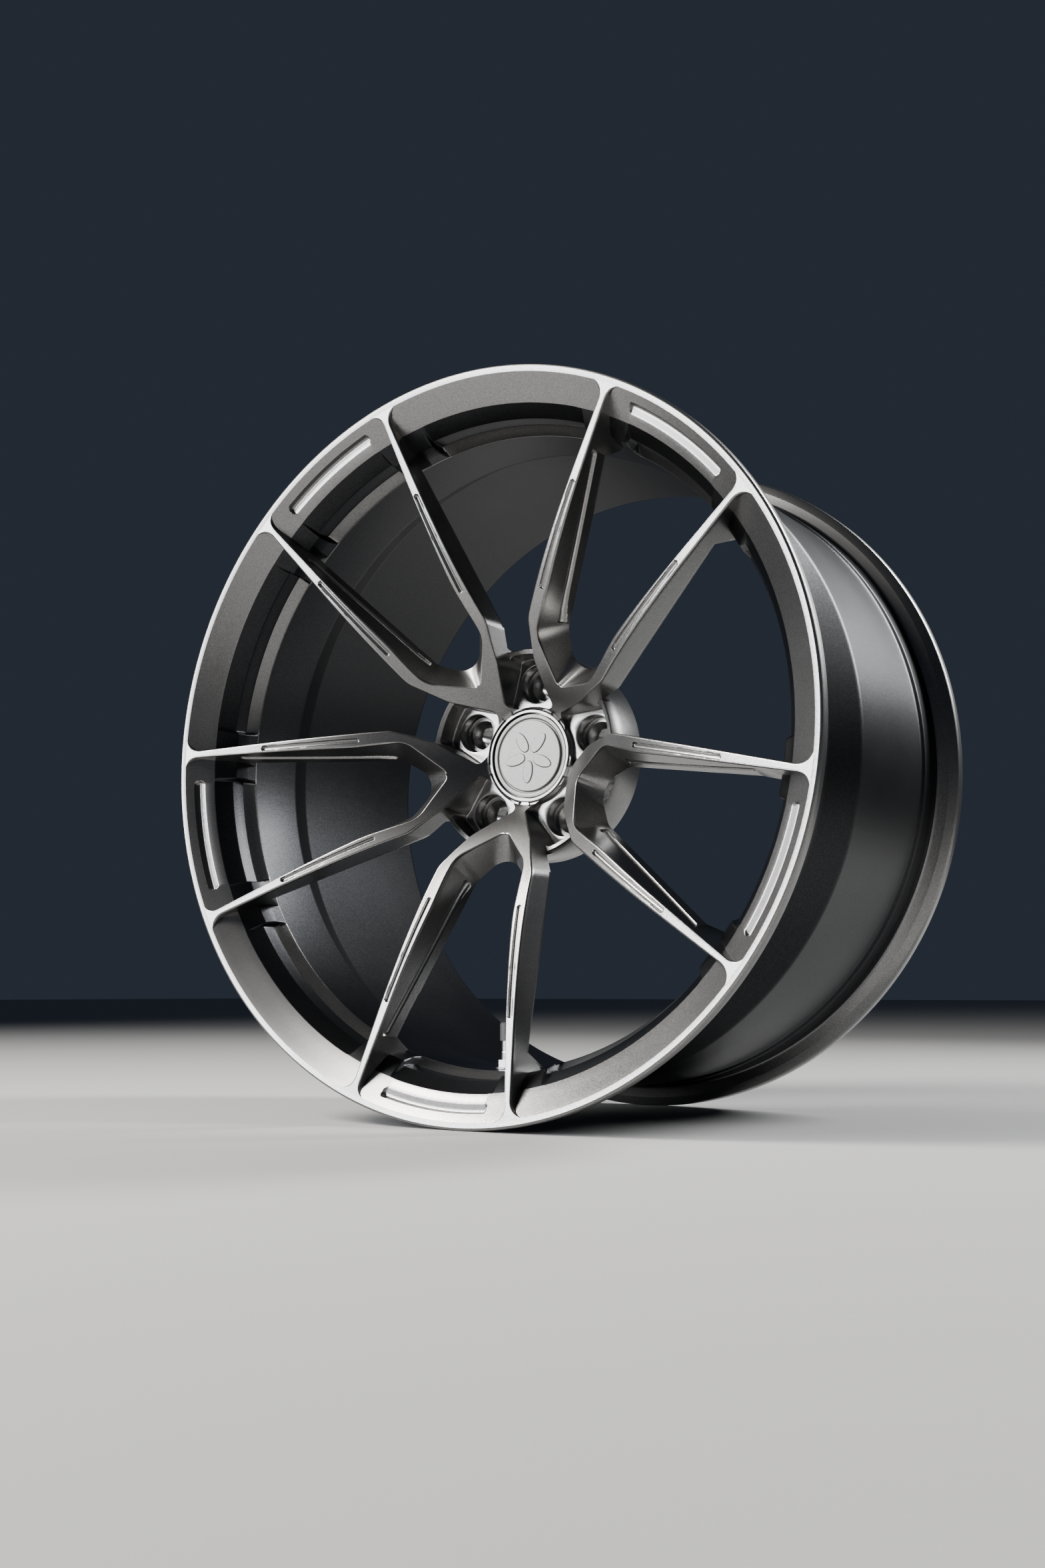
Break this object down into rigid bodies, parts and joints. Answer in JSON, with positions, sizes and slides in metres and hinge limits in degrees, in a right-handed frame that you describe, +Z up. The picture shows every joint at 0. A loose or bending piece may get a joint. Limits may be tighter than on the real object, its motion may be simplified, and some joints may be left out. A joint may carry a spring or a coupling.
{
  "type": "racing wheel",
  "caption": "Forged racing wheel with twin-arm spokes, a deep hub with conical nut seats, a snap-in centre cap and a clamp-in tyre valve.",
  "frame": {"origin": "centre of the hub's mounting face, on the wheel's axis", "axes": "+Y along the axle towards the vehicle, so the styled face looks along -Y; +Z up, with the valve straight down"},
  "size_m": [0.5474, 0.2926, 0.5474],
  "materials": {
    "satin_silver": "satin metallic paint",
    "cap_silver": "satin metallic paint on plastic",
    "machined_aluminium": "machined and anodised",
    "ring_plastic": "matte black nylon",
    "spring_steel": "drawn wire",
    "brass": "turned",
    "rubber": "matte black"
  },
  "bodies": {
    "wheel": {"outer_rim": "satin_silver", "drop_well": "satin_silver", "inner_rim": "satin_silver", "spoke_1": "satin_silver", "spoke_2": "satin_silver", "spoke_3": "satin_silver", "spoke_4": "satin_silver", "spoke_5": "satin_silver", "hub": "satin_silver", "hub_centring_ring": "ring_plastic", "valve_stem": "machined_aluminium", "valve_grommet": "rubber", "valve_washer": "machined_aluminium", "valve_nut": "machined_aluminium", "valve_core_body": "brass", "valve_core_spring": "spring_steel"},
    "cap": {"centre_cap_body": "cap_silver", "centre_cap_disc": "cap_silver", "cap_rubber_ring": "rubber", "cap_spring_ring": "spring_steel"},
    "core_pin": {"valve_core_pin": "brass", "valve_core_seal": "rubber"},
    "dust_cap": {"valve_cap": "ring_plastic", "valve_cap_seal": "rubber"}
  },
  "joints": [
    {"name": "cap_pull", "type": "slide", "parent": "wheel", "child": "cap", "axis": [0, -1, 0], "range_m": [0, 0.03]},
    {"name": "core_pin_press", "type": "slide", "parent": "wheel", "child": "core_pin", "axis": [0, 0, -1], "range_m": [0, 0.0015], "stiffness_N_per_m": 400, "springref_m": -0.0015, "deforming": ["valve_core_spring"]},
    {"name": "dust_cap_pull", "type": "slide", "parent": "wheel", "child": "dust_cap", "axis": [0, 0, 1], "range_m": [0, 0.014]}
  ]
}
